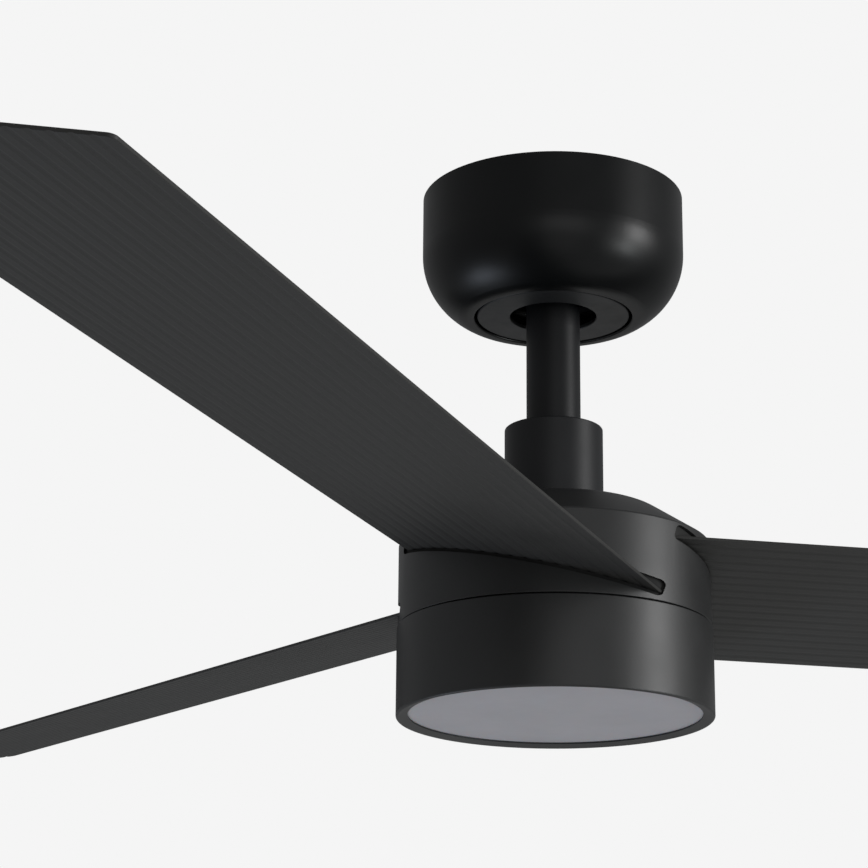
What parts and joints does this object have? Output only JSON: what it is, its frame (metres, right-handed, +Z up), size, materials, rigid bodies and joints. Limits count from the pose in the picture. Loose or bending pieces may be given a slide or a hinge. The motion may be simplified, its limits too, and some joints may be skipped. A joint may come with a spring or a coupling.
{
  "type": "ceiling fan with light",
  "caption": "Ceiling fan with a short downrod, a domed hub whose inclined slots take flat ribbed blades, and a round opal light below it.",
  "frame": {"origin": "middle of the ceiling plate's upper face, on the ceiling plane", "axes": "+Z up into the ceiling, the fan hangs towards -Z; +Y away from the usual viewer, +X to the viewer's right"},
  "size_m": [1.1511, 1.1756, 0.2929],
  "materials": {
    "zinc_plate": "bright zinc-plated pressed steel",
    "bracket_black": "black e-coat on pressed steel",
    "electronics_case": "moulded flame-retardant plastic, light grey",
    "terminal_plastic": "moulded nylon, off-white",
    "screw_steel": "zinc-plated fasteners",
    "canopy_paint": "satin black powder coat",
    "insert_plastic": "black moulded plastic, fine grain",
    "magnet_nickel": "nickel-plated magnet",
    "liner_nylon": "black nylon, smooth",
    "ball_plastic": "hard black moulded plastic",
    "rod_paint": "satin black powder coat",
    "wire_jacket": "soft insulation on the wires",
    "cover_paint": "satin black powder coat",
    "motor_casting": "die-cast, machined on its seats",
    "ground_steel": "ground bearing steel",
    "lamination_steel": "stacked silicon-steel laminations",
    "copper_wire": "enamelled copper windings",
    "light_paint": "fine-textured charcoal powder coat",
    "tray_white": "white reflective paint",
    "board_mask": "white solder mask",
    "led_phosphor": "yellow phosphor over white ceramic",
    "opal_diffuser": "opal polycarbonate, satin",
    "hub_paint": "fine-textured charcoal powder coat",
    "motor_steel": "zinc-plated drawn steel",
    "blade_paint": "ribbed aluminium sheet, matt dark grey coat",
    "gasket_rubber": "soft black rubber"
  },
  "bodies": {
    "ceiling_mount": {"ceiling_plate": "zinc_plate", "hanger_bracket": "bracket_black", "receiver_box": "electronics_case", "terminal_block": "terminal_plastic", "earth_screw": "screw_steel", "canopy": "canopy_paint", "canopy_screws": "screw_steel", "canopy_insert": "insert_plastic", "insert_magnets": "magnet_nickel"},
    "ball_seat": {"seat_liner": "liner_nylon"},
    "hanger": {"hanger_ball": "ball_plastic", "hanger_pin": "screw_steel", "downrod": "rod_paint", "rod_wires": "wire_jacket", "coupling_cover": "cover_paint", "motor_coupling": "motor_casting", "coupling_bolt": "screw_steel", "coupling_nut": "screw_steel", "set_screws": "screw_steel", "motor_shaft": "ground_steel", "stator_core": "lamination_steel", "stator_windings": "copper_wire", "bearing_inner_races": "ground_steel", "light_mount_plate": "zinc_plate", "shaft_nut": "screw_steel", "light_housing": "light_paint", "light_screws": "screw_steel", "led_driver": "electronics_case", "motor_controller": "electronics_case", "tray_posts": "zinc_plate", "led_tray": "tray_white", "led_board": "board_mask", "tray_screws": "screw_steel", "led_chips": "led_phosphor", "diffuser": "opal_diffuser"},
    "rotor": {"hub_shell": "hub_paint", "slot_seals": "gasket_rubber", "rotor_can": "motor_steel", "rotor_cover": "motor_casting", "rotor_screws": "screw_steel", "rotor_magnets": "magnet_nickel", "bearing_outer_races": "ground_steel", "bearing_balls": "ground_steel", "hub_screws": "screw_steel", "blade_carrier": "motor_casting", "carrier_screws": "screw_steel", "blade_one": "blade_paint", "blade_two": "blade_paint", "blade_three": "blade_paint", "blade_screws": "screw_steel", "blade_washers": "screw_steel", "blade_gaskets": "gasket_rubber"}
  },
  "joints": [
    {"name": "swing_sideways", "type": "hinge", "parent": "ceiling_mount", "child": "ball_seat", "pos_m": [0, 0, -0.038], "axis": [0, 1, 0], "range_deg": [-10, 10]},
    {"name": "swing_forward", "type": "hinge", "parent": "ball_seat", "child": "hanger", "pos_m": [0, 0, -0.038], "axis": [1, 0, 0], "range_deg": [-10, 10]},
    {"name": "rotor_spin", "type": "hinge", "parent": "hanger", "child": "rotor", "pos_m": [0, 0, -0.21], "axis": [0, 0, 1], "continuous": true}
  ]
}
